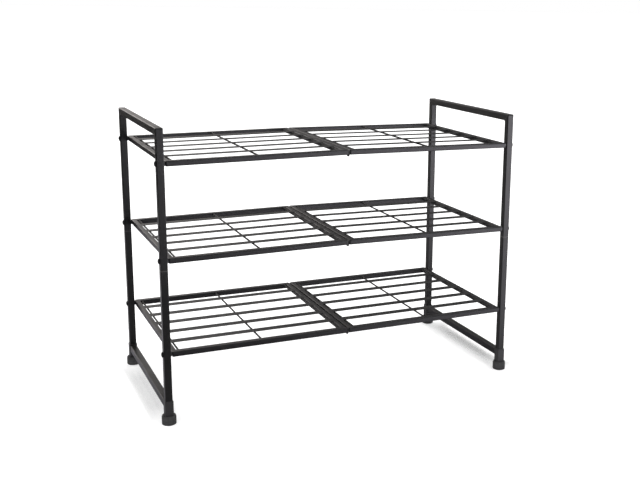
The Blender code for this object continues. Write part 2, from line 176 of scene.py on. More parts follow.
def new_piece(name, mesh, material, slot, *nodes):
    """A finished mesh as a piece of the rack: it rides on the root body and stands for CAD nodes."""
    piece = bpy.data.objects.new(name, mesh)
    bpy.context.scene.collection.objects.link(piece)
    mesh.name = name
    mesh.materials.clear()
    mesh.materials.append(material)
    mesh.shade_smooth()
    mesh.set_sharp_from_angle(angle=SMOOTH_ANGLE)
    even = piece.modifiers.new("even_normals", "WEIGHTED_NORMAL")
    even.mode = "FACE_AREA_WITH_ANGLE"
    even.weight = 100
    even.keep_sharp = True
    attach(piece, "root")
    if nodes:
        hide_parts(*nodes)
    return piece


def mesh_from(bm):
    bmesh.ops.recalc_face_normals(bm, faces=bm.faces)
    mesh = bpy.data.meshes.new("piece")
    bm.to_mesh(mesh)
    bm.free()
    return mesh


def joined(meshes):
    """Several closed meshes as one mesh."""
    bm = bmesh.new()
    for mesh in meshes:
        bm.from_mesh(mesh)
        bpy.data.meshes.remove(mesh)
    return mesh_from(bm)


def loft(loops, closed=False):
    """A closed surface through loops that have the same number of points each."""
    bm = bmesh.new()
    rings = [[bm.verts.new(point) for point in loop] for loop in loops]
    pairs = list(zip(rings, rings[1:]))
    if closed:
        pairs.append((rings[-1], rings[0]))
    else:
        bm.faces.new(rings[0])
        bm.faces.new(rings[-1])
    for lower, upper in pairs:
        for i in range(len(lower)):
            j = (i + 1) % len(lower)
            bm.faces.new((lower[i], lower[j], upper[j], upper[i]))
    return mesh_from(bm)


def oblong_loop(half_x, half_y, corner, z):
    """A rectangle with rounded corners, level at the height z."""
    corner = max(corner, SMALLEST_CORNER)
    points = []
    for quarter, (sign_x, sign_y) in enumerate(((1, 1), (-1, 1), (-1, -1), (1, -1))):
        for i in range(CORNER_STEPS + 1):
            angle = math.pi / 2 * (quarter + i / CORNER_STEPS)
            points.append((
                sign_x * (half_x - corner) + corner * math.cos(angle),
                sign_y * (half_y - corner) + corner * math.sin(angle),
                z,
            ))
    return points


def bar_loops(half_x, half_y, corner, bottom, top, edge, steps=4):
    """Loops of an upright bar with rounded long edges and rounded ends."""
    loops = []
    for z, towards in ((bottom, 1), (top, -1)):
        end = []
        for i in range(steps + 1):
            angle = math.pi / 2 * i / steps
            inset = edge * (1 - math.sin(angle))
            height = z + towards * edge * (1 - math.cos(angle))
            end.append(oblong_loop(half_x - inset, half_y - inset, corner - inset, height))
        loops += end if towards > 0 else end[::-1]
    return loops


def polar_loop(radius_at, z, steps=ROUND_STEPS):
    """A loop about Z at the height z, whose radius is a function of the angle."""
    points = []
    for i in range(steps):
        angle = 2 * math.pi * i / steps
        radius = radius_at(angle)
        points.append((radius * math.cos(angle), radius * math.sin(angle), z))
    return points


def circle(radius):
    return lambda angle: radius


def polygon(sides, apothem):
    """The radius at each angle of a regular polygon that has a flat side towards +X."""
    sector = 2 * math.pi / sides
    return lambda angle: apothem / math.cos((angle + sector / 2) % sector - sector / 2)


def arc(centre, radius, start, end, steps):
    """Points (r, z) of an arc in a turned profile, with its angles in degrees from +r.

    centre and radius are (r, z) pairs, so the arc may be part of an ellipse.
    """
    points = []
    for i in range(steps + 1):
        angle = math.radians(start + (end - start) * i / steps)
        r = centre[0] + radius[0] * math.cos(angle)
        z = centre[1] + radius[1] * math.sin(angle)
        points.append((r, z))
    return points


def rounded(corners, radii, steps=6):
    """A closed outline with each corner rounded to its radius, where 0 leaves it sharp."""
    points = []
    for i, (corner, radius) in enumerate(zip(corners, radii)):
        corner = Vector(corner)
        if not radius:
            points.append(corner)
            continue
        to_before = (Vector(corners[i - 1]) - corner).normalized()
        to_after = (Vector(corners[(i + 1) % len(corners)]) - corner).normalized()
        centre = corner + radius * (to_before + to_after)
        for k in range(steps + 1):
            angle = math.pi / 2 * k / steps
            outwards = math.cos(angle) * to_after + math.sin(angle) * to_before
            points.append(centre - radius * outwards)
    return points


def plate(outlines, thickness, edge, upright=False):
    """A flat piece from outlines in XY, or in YZ if upright, with all its edges rounded."""
    curve = bpy.data.curves.new("plate", "CURVE")
    curve.dimensions = "2D"
    curve.fill_mode = "BOTH"
    curve.extrude = thickness / 2 - edge
    curve.bevel_depth = edge
    curve.bevel_resolution = BEVEL_RESOLUTION
    curve.offset = -edge
    for points in outlines:
        spline = curve.splines.new("POLY")
        spline.points.add(len(points) - 1)
        for point, (x, y) in zip(spline.points, points):
            point.co = (x, y, 0.0, 1.0)
        spline.use_cyclic_u = True
    obj = bpy.data.objects.new("plate", curve)
    bpy.context.scene.collection.objects.link(obj)
    bpy.context.view_layer.update()
    mesh = bpy.data.meshes.new_from_object(obj.evaluated_get(bpy.context.evaluated_depsgraph_get()))
    bpy.data.objects.remove(obj)
    bpy.data.curves.remove(curve)
    if upright:
        mesh.transform(Matrix(((0, 0, 1, 0), (1, 0, 0, 0), (0, 1, 0, 0), (0, 0, 0, 1))))
    bm = bmesh.new()
    bm.from_mesh(mesh)
    bpy.data.meshes.remove(mesh)
    bmesh.ops.remove_doubles(bm, verts=bm.verts, dist=MERGE_DISTANCE)
    return mesh_from(bm)


def bead(start, end, width, height, up, seed):
    """A weld bead from start to end: a low rounded ridge of overlapping ripples."""
    start, end, up = Vector(start), Vector(end), Vector(up).normalized()
    along = end - start
    length = along.length
    along.normalize()
    across = along.cross(up)
    stations = max(BEAD_STATIONS_AT_LEAST, int(length / BEAD_STATION))
    loops = []
    for i in range(stations + 1):
        share = i / stations
        taper = math.sqrt(max(1 - (2 * share - 1) ** 6, 0.0004))  # full width, but round at both ends
        ripple = 1 + BEAD_RIPPLE_SHARE * math.sin(2 * math.pi * share * length / BEAD_RIPPLE)
        wander = noise.noise(Vector((seed, share * length * BEAD_WANDER_RATE, 0))) * BEAD_WANDER_SHARE
        loop = []
        for k in range(BEAD_SIDES):
            angle = 2 * math.pi * k / BEAD_SIDES
            offset = across * (width / 2 * math.cos(angle) + wander * width)
            offset += up * (height * ripple * math.sin(angle))
            loop.append(start + along * (share * length) + offset * taper)
        loops.append(loop)
    return loft(loops)


def nugget(centre, radii, seed):
    """A small lump of weld metal: an uneven flattened ball."""
    bm = bmesh.new()
    bmesh.ops.create_icosphere(bm, subdivisions=2, radius=1.0)
    for vert in bm.verts:
        swell = 1 + NUGGET_SWELL * noise.noise(vert.co * NUGGET_LUMPS + Vector((seed, seed * 0.37, 0)))
        vert.co = Vector(centre) + Vector([c * r * swell for c, r in zip(vert.co, radii)])
    return mesh_from(bm)


# ---------------------------------------------------------------- materials


# A Mix node's colour sockets share their names with its number sockets, so they go by their places.
MIX_SHARE = 0
MIX_A = 6
MIX_B = 7
MIX_RESULT = 2

DUST = (0.16, 0.15, 0.14)
BARE_STEEL = (0.20, 0.20, 0.21)


def scaled(colour, factor):
    return tuple(factor * c for c in colour)


class Nodes:
    """A short way to write a material's nodes. Sizes and depths are in metres."""

    def __init__(self, name):
        self.material = bpy.data.materials.new(name)
        self.material.use_nodes = True
        self.tree = self.material.node_tree
        self.shader = self.tree.nodes["Principled BSDF"]
        self.place = self.add("ShaderNodeTexCoord").outputs["Object"]

    def add(self, kind, settings=None, **inputs):
        node = self.tree.nodes.new(kind)
        for key, value in (settings or {}).items():
            setattr(node, key, value)
        for key, value in inputs.items():
            self.set(node.inputs[key.replace("_", " ")], value)
        return node

    def set(self, socket, value):
        if isinstance(value, bpy.types.NodeSocket):
            self.tree.links.new(value, socket)
        elif socket.type == "RGBA" and len(value) == 3:
            socket.default_value = (*value, 1.0)
        else:
            socket.default_value = value

    def noise(self, size, detail=2.0, roughness=0.5):
        """Noise whose features are about size metres across."""
        node = self.add(
            "ShaderNodeTexNoise", Vector=self.place, Scale=1 / size, Detail=detail, Roughness=roughness
        )
        return node.outputs["Fac"]

    def maths(self, operation, a, b=0.0):
        node = self.add("ShaderNodeMath", {"operation": operation})
        self.set(node.inputs[0], a)
        self.set(node.inputs[1], b)
        return node.outputs[0]

    def vectors(self, operation, a, b=None):
        """A vector calculation's outputs."""
        node = self.add("ShaderNodeVectorMath", {"operation": operation})
        self.set(node.inputs[0], a)
        if b is not None:
            self.set(node.inputs[1], b)
        return node.outputs

    def split(self, vector):
        """A vector's X, Y and Z."""
        return self.add("ShaderNodeSeparateXYZ", Vector=vector).outputs

    def remap(self, value, low, high, to_low=0.0, to_high=1.0):
        """The value, clamped between low and high and stretched to between to_low and to_high."""
        node = self.add("ShaderNodeMapRange", Value=value)
        node.inputs["From Min"].default_value = low
        node.inputs["From Max"].default_value = high
        node.inputs["To Min"].default_value = to_low
        node.inputs["To Max"].default_value = to_high
        return node.outputs["Result"]

    def mix(self, share, a, b):
        """A colour between a, where share is 0, and b, where it is 1."""
        node = self.add("ShaderNodeMix", {"data_type": "RGBA"})
        self.set(node.inputs[MIX_SHARE], share)
        self.set(node.inputs[MIX_A], a)
        self.set(node.inputs[MIX_B], b)
        return node.outputs[MIX_RESULT]

    def edges(self, radius):
        """0 on flat faces and up to 1 along outer and inner edges."""
        soft = self.add("ShaderNodeBevel", {"samples": 6}, Radius=radius)
        plain = self.add("ShaderNodeNewGeometry")
        alike = self.vectors("DOT_PRODUCT", soft.outputs["Normal"], plain.outputs["Normal"])
        return self.remap(alike["Value"], 0.995, 0.86)

    def upward(self):
        """1 where a face looks up, 0 where it looks sideways or down."""
        normal = self.split(self.add("ShaderNodeNewGeometry").outputs["Normal"])
        return self.remap(normal["Z"], 0.55, 0.98)

    def bump(self, *layers):
        """Stacks (height socket, depth in metres) layers into the shader's normal."""
        normal = None
        for height, depth in layers:
            node = self.add("ShaderNodeBump", Height=height, Distance=depth, Strength=1.0)
            if normal:
                self.set(node.inputs["Normal"], normal)
            normal = node.outputs["Normal"]
        self.set(self.shader.inputs["Normal"], normal)

    def finish(self, **inputs):
        for key, value in inputs.items():
            self.set(self.shader.inputs[key.replace("_", " ")], value)
        return self.material


def powder_coat(name, colour, worn, roughness, peel_depth):
    """Satin powder coat on steel: orange peel, cloudy gloss, dust on top faces and rubbed edges."""
    n = Nodes(name)
    cloud = n.noise(0.070, 3.0, 0.55)
    peel = n.noise(0.0014, 1.0, 0.4)
    grain = n.noise(0.0004, 2.0, 0.6)
    scuffs = n.remap(n.noise(0.012, 5.0, 0.7), 0.62, 0.78)
    rubbed = n.maths("MULTIPLY", n.edges(0.0010), n.remap(n.noise(0.020, 4.0, 0.6), 0.38, 0.66))
    dust = n.maths("MULTIPLY", n.upward(), n.remap(n.noise(0.030, 4.0, 0.65), 0.35, 0.75))
    lighter = scaled(colour, 1.30)
    tone = n.mix(n.remap(cloud, 0.3, 0.7), scaled(colour, 0.72), lighter)
    tone = n.mix(n.maths("MULTIPLY", n.remap(grain, 0.45, 0.80), 0.35), tone, lighter)
    tone = n.mix(n.maths("MULTIPLY", rubbed, 0.55), tone, worn)
    tone = n.mix(n.maths("MULTIPLY", dust, 0.10), tone, DUST)
    gloss = n.remap(cloud, 0.3, 0.7, roughness - 0.05, roughness + 0.06)
    gloss = n.maths("ADD", gloss, n.remap(grain, 0.3, 0.7, -0.03, 0.03))
    gloss = n.maths("ADD", gloss, n.maths("MULTIPLY", scuffs, 0.10))
    gloss = n.maths("SUBTRACT", gloss, n.maths("MULTIPLY", rubbed, 0.12))
    n.bump((peel, peel_depth), (grain, 0.000006))
    return n.finish(Base_Color=tone, Roughness=gloss, IOR=1.50)


def moulded_plastic(name, colour, roughness, grain_size, grain_depth):
    """Dull moulded plastic or rubber with a fine spark-eroded grain and slight bloom."""
    n = Nodes(name)
    grain = n.noise(grain_size, 2.0, 0.55)
    bloom = n.remap(n.noise(0.008, 4.0, 0.6), 0.35, 0.70)
    rubbed = n.maths("MULTIPLY", n.edges(0.0006), n.noise(0.006, 3.0, 0.6))
    tone = n.mix(bloom, scaled(colour, 0.8), scaled(colour, 1.35))
    tone = n.mix(n.maths("MULTIPLY", rubbed, 0.5), tone, scaled(colour, 2.6))
    gloss = n.remap(grain, 0.3, 0.7, roughness - 0.06, roughness + 0.06)
    n.bump((grain, grain_depth))
    return n.finish(Base_Color=tone, Roughness=gloss, IOR=1.48)


def black_oxide(name, colour, roughness):
    """Blackened screw steel: turning marks, oil sheen and bright rubbed edges."""
    n = Nodes(name)
    smear = n.noise(0.003, 4.0, 0.6)
    grain = n.noise(0.0005, 2.0, 0.6)
    rubbed = n.maths("MULTIPLY", n.edges(0.0005), n.remap(n.noise(0.002, 3.0, 0.6), 0.35, 0.6))
    tone = n.mix(n.remap(smear, 0.3, 0.7), colour, scaled(colour, 1.8))
    tone = n.mix(n.maths("MULTIPLY", rubbed, 0.5), tone, BARE_STEEL)
    gloss = n.remap(smear, 0.3, 0.7, roughness - 0.07, roughness + 0.10)
    n.bump((grain, 0.000008))
    return n.finish(Base_Color=tone, Roughness=gloss, Metallic=0.6, IOR=1.5)


def weld_metal(name, colour, roughness):
    """Painted weld beads: the same paint, lumpier and a little glossier where it pools."""
    n = Nodes(name)
    lump = n.noise(0.0011, 3.0, 0.6)
    tone = n.mix(n.remap(lump, 0.3, 0.7), scaled(colour, 0.8), scaled(colour, 1.5))
    gloss = n.remap(lump, 0.3, 0.7, roughness - 0.08, roughness + 0.08)
    n.bump((lump, 0.00012))
    return n.finish(Base_Color=tone, Roughness=gloss, IOR=1.5)


# ---------------------------------------------------------------- side frames and base


def side_frame(side_name, paint):
    """The upside-down U of square tube."""
    low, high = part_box(f"upper_side_frame_{side_name}")
    width = high.x - low.x
    corners = [
        (low.y, low.z), (low.y, high.z), (high.y, high.z), (high.y, low.z),
        (high.y - width, low.z), (high.y - width, high.z - width),
        (low.y + width, high.z - width), (low.y + width, low.z),
    ]
    outer, inner = FRAME_OUTER_CORNER, FRAME_INNER_CORNER
    outline = rounded(corners, [0, outer, outer, 0, 0, inner, inner, 0])
    mesh = plate([outline], width, TUBE_EDGE, upright=True)
    mesh.transform(Matrix.Translation(((low.x + high.x) / 2, 0, 0)))
    new_piece(f"side_frame_{side_name}", mesh, paint, "frame_paint", f"upper_side_frame_{side_name}")


def side_frame_seams(side_name, side, weld):
    """The mitre welds of the handle's two corners, ground low, on both faces of the tube."""
    low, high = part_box(f"upper_side_frame_{side_name}")
    width = high.x - low.x
    seams = []
    for end in ENDS.values():
        corner = Vector((0, end * high.y, high.z))
        inwards = Vector((0, -end, -1))
        start = corner + inwards * SEAM_FROM_CORNER
        stop = corner + inwards * (width - SEAM_TO_INSIDE)
        for face, out in ((low.x, -1), (high.x, 1)):
            shift = Vector((face, 0, 0))
            seed = side + 3 * end
            seams.append(bead(start + shift, stop + shift, SEAM_WIDTH, SEAM_HEIGHT, (out, 0, 0), seed))
    new_piece(f"handle_seams_{side_name}", joined(seams), weld, "frame_paint")


def lower_post(side_name, end_name, paint):
    """A straight post with a rounded shoulder and the start of its spigot above it."""
    node = f"lower_post_{end_name}_{side_name}"
    low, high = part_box(node)
    half = (high.x - low.x) / 2
    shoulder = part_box(f"upper_side_frame_{side_name}")[0].z - GAP
    spigot = half - TUBE_WALL - GAP
    spigot_corner = TUBE_EDGE - TUBE_WALL
    loops = bar_loops(half, half, TUBE_EDGE, low.z, shoulder, TUBE_END_EDGE)
    loops += bar_loops(spigot, spigot, spigot_corner, shoulder, shoulder + SPIGOT_SHOWN, SPIGOT_EDGE)
    mesh = loft(loops)
    mesh.transform(Matrix.Translation(((low.x + high.x) / 2, (low.y + high.y) / 2, 0)))
    new_piece(node + "_tube", mesh, paint, "frame_paint", node)


def joint_ring(side_name, end_name, steel):
    """The rubbed edge where the upper frame meets a lower post, lighter also as a painted highlight along
    the joint: a thin band that covers their gap.
    """
    low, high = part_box(f"lower_post_{end_name}_{side_name}")
    half = (high.x - low.x) / 2
    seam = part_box(f"upper_side_frame_{side_name}")[0].z
    loops = []
    for inset, height in JOINT_BAND:
        loops.append(oblong_loop(half - inset, half - inset, TUBE_EDGE - inset, seam + height))
    mesh = loft(loops, closed=True)
    mesh.transform(Matrix.Translation(((low.x + high.x) / 2, (low.y + high.y) / 2, 0)))
    # Its coat is lighter than the frame's: rubbed paint, and a painted highlight along the joint.
    new_piece(f"joint_ring_{end_name}_{side_name}", mesh, steel, "frame_paint")


def sleeve_mesh(x, y, bottom, top):
    """A square sleeve, open at both ends, with a rounded lip."""
    half = SLEEVE / 2
    bore = half - SLEEVE_WALL
    mouth = bore + SLEEVE_BORE_LIP
    loops = [oblong_loop(half, half, TUBE_EDGE, bottom)]
    for i in range(SLEEVE_LIP_STEPS + 1):
        angle = math.pi / 2 * i / SLEEVE_LIP_STEPS
        inset = SLEEVE_LIP * (1 - math.cos(angle))
        height = top - SLEEVE_LIP * (1 - math.sin(angle))
        loops.append(oblong_loop(half - inset, half - inset, TUBE_EDGE - inset, height))
    loops.append(oblong_loop(mouth, mouth, SLEEVE_BORE_CORNER + SLEEVE_BORE_LIP, top))
    loops.append(oblong_loop(bore, bore, SLEEVE_BORE_CORNER, top - SLEEVE_BORE_LIP))
    loops.append(oblong_loop(bore, bore, SLEEVE_BORE_CORNER, bottom))
    mesh = loft(loops, closed=True)
    mesh.transform(Matrix.Translation((x, y, 0)))
    return mesh


def base_frame(side_name, side, paint, sleeve_paint_painted_bounce, weld):
    """Two sleeves, the crossbar between them and the weld beads round its ends."""
    node = f"base_frame_{side_name}"
    low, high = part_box(node)
    post_low, post_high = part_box(f"lower_post_rear_{side_name}")
    x = (post_low.x + post_high.x) / 2
    y = (post_low.y + post_high.y) / 2
    half = (post_high.x - post_low.x) / 2
    top = high.z - CROSSBAR_DROP
    sleeves = [sleeve_mesh(x, end * y, low.z, high.z) for end in ENDS.values()]
    # The sleeves take a lighter coat than the crossbar: painted light, bounced up from the floor.
    new_piece(node + "_sleeves", joined(sleeves), sleeve_paint_painted_bounce, "frame_paint", node)
    reach = y - SLEEVE / 2 + SLEEVE_WALL / 2
    bar = loft(bar_loops(half, half, TUBE_EDGE, -reach, reach, CROSSBAR_END_EDGE))
    bar.transform(Matrix.Translation((x, 0, top - half)) @ Matrix.Rotation(math.pi / 2, 4, "X"))
    new_piece(node + "_crossbar", bar, paint, "frame_paint", node)
    beads = []
    bottom = top - 2 * half
    for end in ENDS.values():
        face = end * (y - SLEEVE / 2)
        for out in (-1, 1):
            start = (x + out * half, face, bottom + BASE_BEAD_INSET)
            stop = (x + out * half, face, top - BASE_BEAD_INSET)
            seed = 11 * side + end + out
            beads.append(bead(start, stop, BASE_BEAD_WIDTH, BASE_BEAD_HEIGHT, (out, -end, 0), seed))
        for z, up in ((top, 1), (bottom, -1)):
            start = (x - half + BASE_BEAD_INSET, face, z)
            stop = (x + half - BASE_BEAD_INSET, face, z)
            seed = 5 * side + end + up
            beads.append(bead(start, stop, BASE_BEAD_WIDTH, BASE_BEAD_HEIGHT, (0, -end, up), seed))
    new_piece(f"base_welds_{side_name}", joined(beads), weld, "frame_paint")


def foot(side_name, end_name, rubber):
    """A round rubber cap with a chamfered shoulder, a mould line and a square cup for the sleeve."""
    node = f"foot_{end_name}_{side_name}"
    low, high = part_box(node)
    radius = (high.x - low.x) / 2
    height = high.z
    shoulder = FOOT_SHOULDER * height
    top_radius = FOOT_TOP * radius
    cup = SLEEVE / 2 + GAP
    square = polygon(4, cup)

    def bore(angle):
        return min(square(angle), CUP_CORNER * cup)

    def bore_lip(angle):
        return bore(angle) + CUP_LIP

    profile = [(FOOT_SOLE[0] * radius, SOLE_DISH), (FOOT_SOLE[1] * radius, 0.0)]
    profile += arc((radius - FOOT_EDGE, FOOT_EDGE), (FOOT_EDGE, FOOT_EDGE), -90, 0, 6)
    for i, groove in enumerate((0.0, MOULD_LINE_DEPTH, MOULD_LINE_DEPTH, 0.0)):
        profile.append((radius - groove, MOULD_LINE_HEIGHT * height + i * MOULD_LINE_STEP))
    profile += arc((top_radius, shoulder), (radius - top_radius, height - shoulder), 0, 90, 7)
    loops = [polar_loop(circle(r), z) for r, z in profile]
    loops.append(polar_loop(bore_lip, height))
    loops.append(polar_loop(bore, height - CUP_LIP))
    loops.append(polar_loop(bore, height - CUP_SHOWN))
    mesh = loft(loops)
    centre = (low + high) / 2
    mesh.transform(Matrix.Translation((centre.x, centre.y, 0)))
    new_piece(node + "_cap", mesh, rubber, "foot_rubber", node)


# ---------------------------------------------------------------- shelves


class Shelf:
    """A half-shelf's own frame: its outer end at X = 0, its top at Z = 0, and +X towards the middle."""

    def __init__(self, tier, side_name, side):
        self.node = f"shelf_{tier}_{side_name}"
        low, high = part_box(self.node)
        flat_low, flat_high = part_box(f"shelf_bottom_{side_name}")
        self.rail_height = flat_high.z - flat_low.z
        self.length = flat_high.x - flat_low.x
        self.half_depth = (flat_high.y - flat_low.y) / 2
        rise = (high.z - low.z) - self.rail_height
        slope = math.asin(rise / self.length)
        outer = low.x if side < 0 else high.x
        top = low.z + self.rail_height
        mirror = Matrix.Scale(-side, 4, (1, 0, 0))
        self.matrix = Matrix.Translation((outer, 0, top)) @ mirror @ Matrix.Rotation(-slope, 4, "Y")
        self.inner_y = self.half_depth - LONG_RAIL_WIDTH
        near_end = END_RAIL_WIDTH + WIRE_INSET
        self.wires = (near_end, self.length / 2, self.length - near_end)
        self.wire_z = -SLAT_THICKNESS - WIRE_DIAMETER / 2 + WIRE_SINK
        self.slats = [(i - (SLAT_COUNT - 1) / 2) * SLAT_PITCH for i in range(SLAT_COUNT)]

    def place(self, mesh):
        mesh.transform(self.matrix)
        if self.matrix.determinant() < 0:
            mesh.flip_normals()
        return mesh


def shelf_rails(shelf, paint):
    """The rectangular frame of flat tube."""
    outer_y = shelf.half_depth
    outer = [(0, -outer_y), (shelf.length, -outer_y), (shelf.length, outer_y), (0, outer_y)]
    inner_y = shelf.inner_y
    low_x = END_RAIL_WIDTH
    high_x = shelf.length - END_RAIL_WIDTH
    inner = [(low_x, -inner_y), (low_x, inner_y), (high_x, inner_y), (high_x, -inner_y)]
    outlines = [rounded(outer, [PANEL_CORNER] * 4), rounded(inner, [PANEL_INNER_CORNER] * 4)]
    mesh = plate(outlines, shelf.rail_height, RAIL_EDGE)
    mesh.transform(Matrix.Translation((0, 0, -shelf.rail_height / 2)))
    new_piece(shelf.node + "_rails", shelf.place(mesh), paint, "shelf_paint", shelf.node)


def shelf_slats(shelf, paint):
    """Five flat slats between the end rails, level with their tops."""
    half_length = shelf.length / 2 - (END_RAIL_WIDTH - RAIL_EDGE - SLAT_LET_IN)
    thick, wide = SLAT_THICKNESS / 2, SLAT_WIDTH / 2
    along_x = Matrix.Rotation(math.pi / 2, 4, "Y")
    meshes = []
    for y in shelf.slats:
        slat = loft(bar_loops(thick, wide, SLAT_EDGE, -half_length, half_length, SLAT_END_EDGE))
        slat.transform(Matrix.Translation((shelf.length / 2, y, -thick - SLAT_DROP)) @ along_x)
        meshes.append(slat)
    new_piece(shelf.node + "_slats", shelf.place(joined(meshes)), paint, "shelf_paint", shelf.node)


def shelf_wires(shelf, paint):
    """Three round cross wires under the slats."""
    reach = shelf.inner_y + WIRE_LET_IN
    along_y = Matrix.Rotation(math.pi / 2, 4, "X")
    meshes = []
    for x in shelf.wires:
        ends = [polar_loop(circle(WIRE_DIAMETER / 2), height, WIRE_STEPS) for height in (-reach, reach)]
        wire = loft(ends)
        wire.transform(Matrix.Translation((x, 0, shelf.wire_z)) @ along_y)
        meshes.append(wire)
    new_piece(shelf.node + "_wires", shelf.place(joined(meshes)), paint, "shelf_paint", shelf.node)


def shelf_welds(shelf, weld, seed):
    """Beads where slats meet end rails and wires meet long rails, and a nugget at each crossing."""
    lumps = []
    half_bead = SLAT_WIDTH / 2 - SLAT_BEAD_INSET
    under_slat = -SLAT_THICKNESS - NUGGET_SINK
    for k, y in enumerate(shelf.slats):
        for x, inwards in ((END_RAIL_WIDTH, 1), (shelf.length - END_RAIL_WIDTH, -1)):
            bead_x = x - inwards * SLAT_BEAD_SHIFT
            start = (bead_x, y - half_bead, -SLAT_BEAD_SINK)
            stop = (bead_x, y + half_bead, -SLAT_BEAD_SINK)
            lumps.append(bead(start, stop, SLAT_BEAD_WIDTH, SLAT_BEAD_HEIGHT, (0, 0, 1), seed + k))
            centre = (x + inwards * END_NUGGET_SHIFT, y, under_slat)
            lumps.append(nugget(centre, END_NUGGET, seed + k + x * 100))
        for x in shelf.wires:
            lumps.append(nugget((x, y, under_slat), CROSSING_NUGGET, seed + k * 3 + x * 70))
    for x in shelf.wires:
        for end in ENDS.values():
            centre = (x, end * shelf.inner_y, shelf.wire_z)
            lumps.append(nugget(centre, WIRE_NUGGET, seed + end + x * 50))
    new_piece(shelf.node + "_welds", shelf.place(joined(lumps)), weld, "shelf_paint", shelf.node)


# ---------------------------------------------------------------- fasteners


def bolt(tier, side_name, side, end_name, steel):
    """A button-head screw with a hexagon socket."""
    node = f"bolt_{tier}_{end_name}_{side_name}"
    low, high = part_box(node)
    post_low, post_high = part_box(f"lower_post_front_{side_name}")
    if side > 0:
        inner, outer, seat_x = low.x, high.x, post_high.x + GAP
    else:
        inner, outer, seat_x = high.x, low.x, post_low.x - GAP
    shank = BOLT_DIAMETER / 2
    shank_length = abs(seat_x - inner)
    head_radius = (high.z - low.z) / 2
    head_height = abs(outer - seat_x)
    profile = [
        (shank - BOLT_POINT, -shank_length), (shank, BOLT_POINT - shank_length), (shank, 0.0),
        (head_radius - BOLT_HEAD_EDGE, 0.0), (head_radius, BOLT_HEAD_EDGE),
        (head_radius, BOLT_HEAD_RIM - BOLT_RIM_STEP),
    ]
    profile += arc((0.0, BOLT_HEAD_RIM), (head_radius, head_height - BOLT_HEAD_RIM), 4, 62, 9)
    loops = [polar_loop(circle(r), z) for r, z in profile]
    for share, depth in SOCKET_MOUTH:
        loops.append(polar_loop(circle(SOCKET_WIDTH / 2 * share), head_height - depth))
    hexagon = polygon(6, SOCKET_WIDTH / 2)
    loops.append(polar_loop(hexagon, head_height - SOCKET_STEP))
    loops.append(polar_loop(hexagon, head_height - SOCKET_DEPTH))
    loops.append(polar_loop(circle(SOCKET_TIP), head_height - SOCKET_DEPTH - SOCKET_STEP))
    mesh = loft(loops)
    centre = (low + high) / 2
    along_x = Matrix.Rotation(side * math.pi / 2, 4, "Y")
    mesh.transform(Matrix.Translation((seat_x, centre.y, centre.z)) @ along_x)
    new_piece(node + "_screw", mesh, steel, "bolt_black", node)


def washer(tier, side_name, end_name, plastic):
    """The ring between a post and a half-shelf, with rounded rims."""
    node = f"washer_{tier}_{end_name}_{side_name}"
    low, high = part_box(node)
    radius = (high.z - low.z) / 2
    half = (high.x - low.x) / 2
    bore = BOLT_DIAMETER / 2 + GAP
    rim = (WASHER_RIM, WASHER_RIM)
    profile = [(bore, half), (bore, -half)]
    profile += arc((radius - WASHER_RIM, -half + WASHER_RIM), rim, -90, 0, 3)
    profile += arc((radius - WASHER_RIM, half - WASHER_RIM), rim, 0, 90, 3)
    mesh = loft([polar_loop(circle(r), z, WASHER_STEPS) for r, z in profile], closed=True)
    mesh.transform(Matrix.Translation((low + high) / 2) @ Matrix.Rotation(math.pi / 2, 4, "Y"))
    new_piece(node + "_ring", mesh, plastic, "washer_plastic", node)


def centre_clip(tier, end_name, plastic):
    """The web between two half-shelves, with a peg into each and a tapered tip."""
    node = f"centre_clip_{tier}_{end_name}"
    low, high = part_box(node)
    centre = (low + high) / 2
    left_low, left_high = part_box("shelf_bottom_left")
    thickness = (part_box("shelf_bottom_right")[0].x - left_high.x) - 2 * GAP
    rail_height = left_high.z - left_low.z
    rail_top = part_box(f"shelf_{tier}_left")[1].z
    rail_bottom = rail_top - rail_height
    tip = CLIP_TIP_WIDTH / 2
    corners = [
        (low.y, high.z), (high.y, high.z), (high.y, rail_bottom),
        (centre.y + tip, low.z), (centre.y - tip, low.z), (low.y, rail_bottom),
    ]
    web = plate([[Vector(corner) for corner in corners]], thickness, CLIP_EDGE, upright=True)
    reach = high.x
    narrower, shorter = PEG_CHAMFER
    profile = [
        (PEG_RADIUS - narrower, -reach), (PEG_RADIUS, shorter - reach),
        (PEG_RADIUS, reach - shorter), (PEG_RADIUS - narrower, reach),
    ]
    peg = loft([polar_loop(circle(r), z, PEG_STEPS) for r, z in profile])
    peg_place = Matrix.Translation((0, centre.y, rail_top - rail_height / 2))
    peg.transform(peg_place @ Matrix.Rotation(math.pi / 2, 4, "Y"))
    new_piece(node + "_web", joined([web, peg]), plastic, "clip_plastic", node)


# ---------------------------------------------------------------- stage, light and camera


# The floor glows evenly like a light table, and a bar that covers it dims the glow as painted shade: how
# bright it glows, and how near and how much a bar must cover it to dim it.
FLOOR_GLOW = 0.32
CONTACT_REACH = 0.045
CONTACT_RANGE = (0.82, 0.975)
FLOOR_SIZE = 60.0
FLOOR_DROP = 0.0002

# The painted shade under the crossbars, from the rack's left side to its right: how far it leans outwards
# and the floor's painted colour where it is deepest. It fades from the crossbars' middle towards the feet.
SHADE_ACROSS = (-0.35, 0.35)
SHADE_LEAN = (0.55, -1.4)
SHADE_LEFT = (0.62, 0.62, 0.62)
SHADE_RIGHT = (0.12, 0.12, 0.12)
FOOT_FADE = (0.080, 0.175)
FOOT_OPEN = 0.9

# How bright glossy paint sees the floor: a painted reflection. One patch lies behind the rack and fades
# outwards; to the right of the rack's left side only a share of it is seen, as painted shade under the rack.
FLOOR_SHEEN = 0.65
SHEEN_CENTRE = (-0.2, 0.9, 0.0)
SHEEN_REACH = (0.7, 1.5)
UNDER_RACK = (-0.45, -0.25)
UNDER_RACK_SHADE = 0.4

# The other is a painted glare on the floor in front, which grows towards the right.
FLOOR_GLARE = 5.8
GLARE_ACROSS = (-0.1, 2.6)
GLARE_DEPTH = (-0.4, -0.1)
GLARE_TINT = (1.00, 0.97, 1.05)


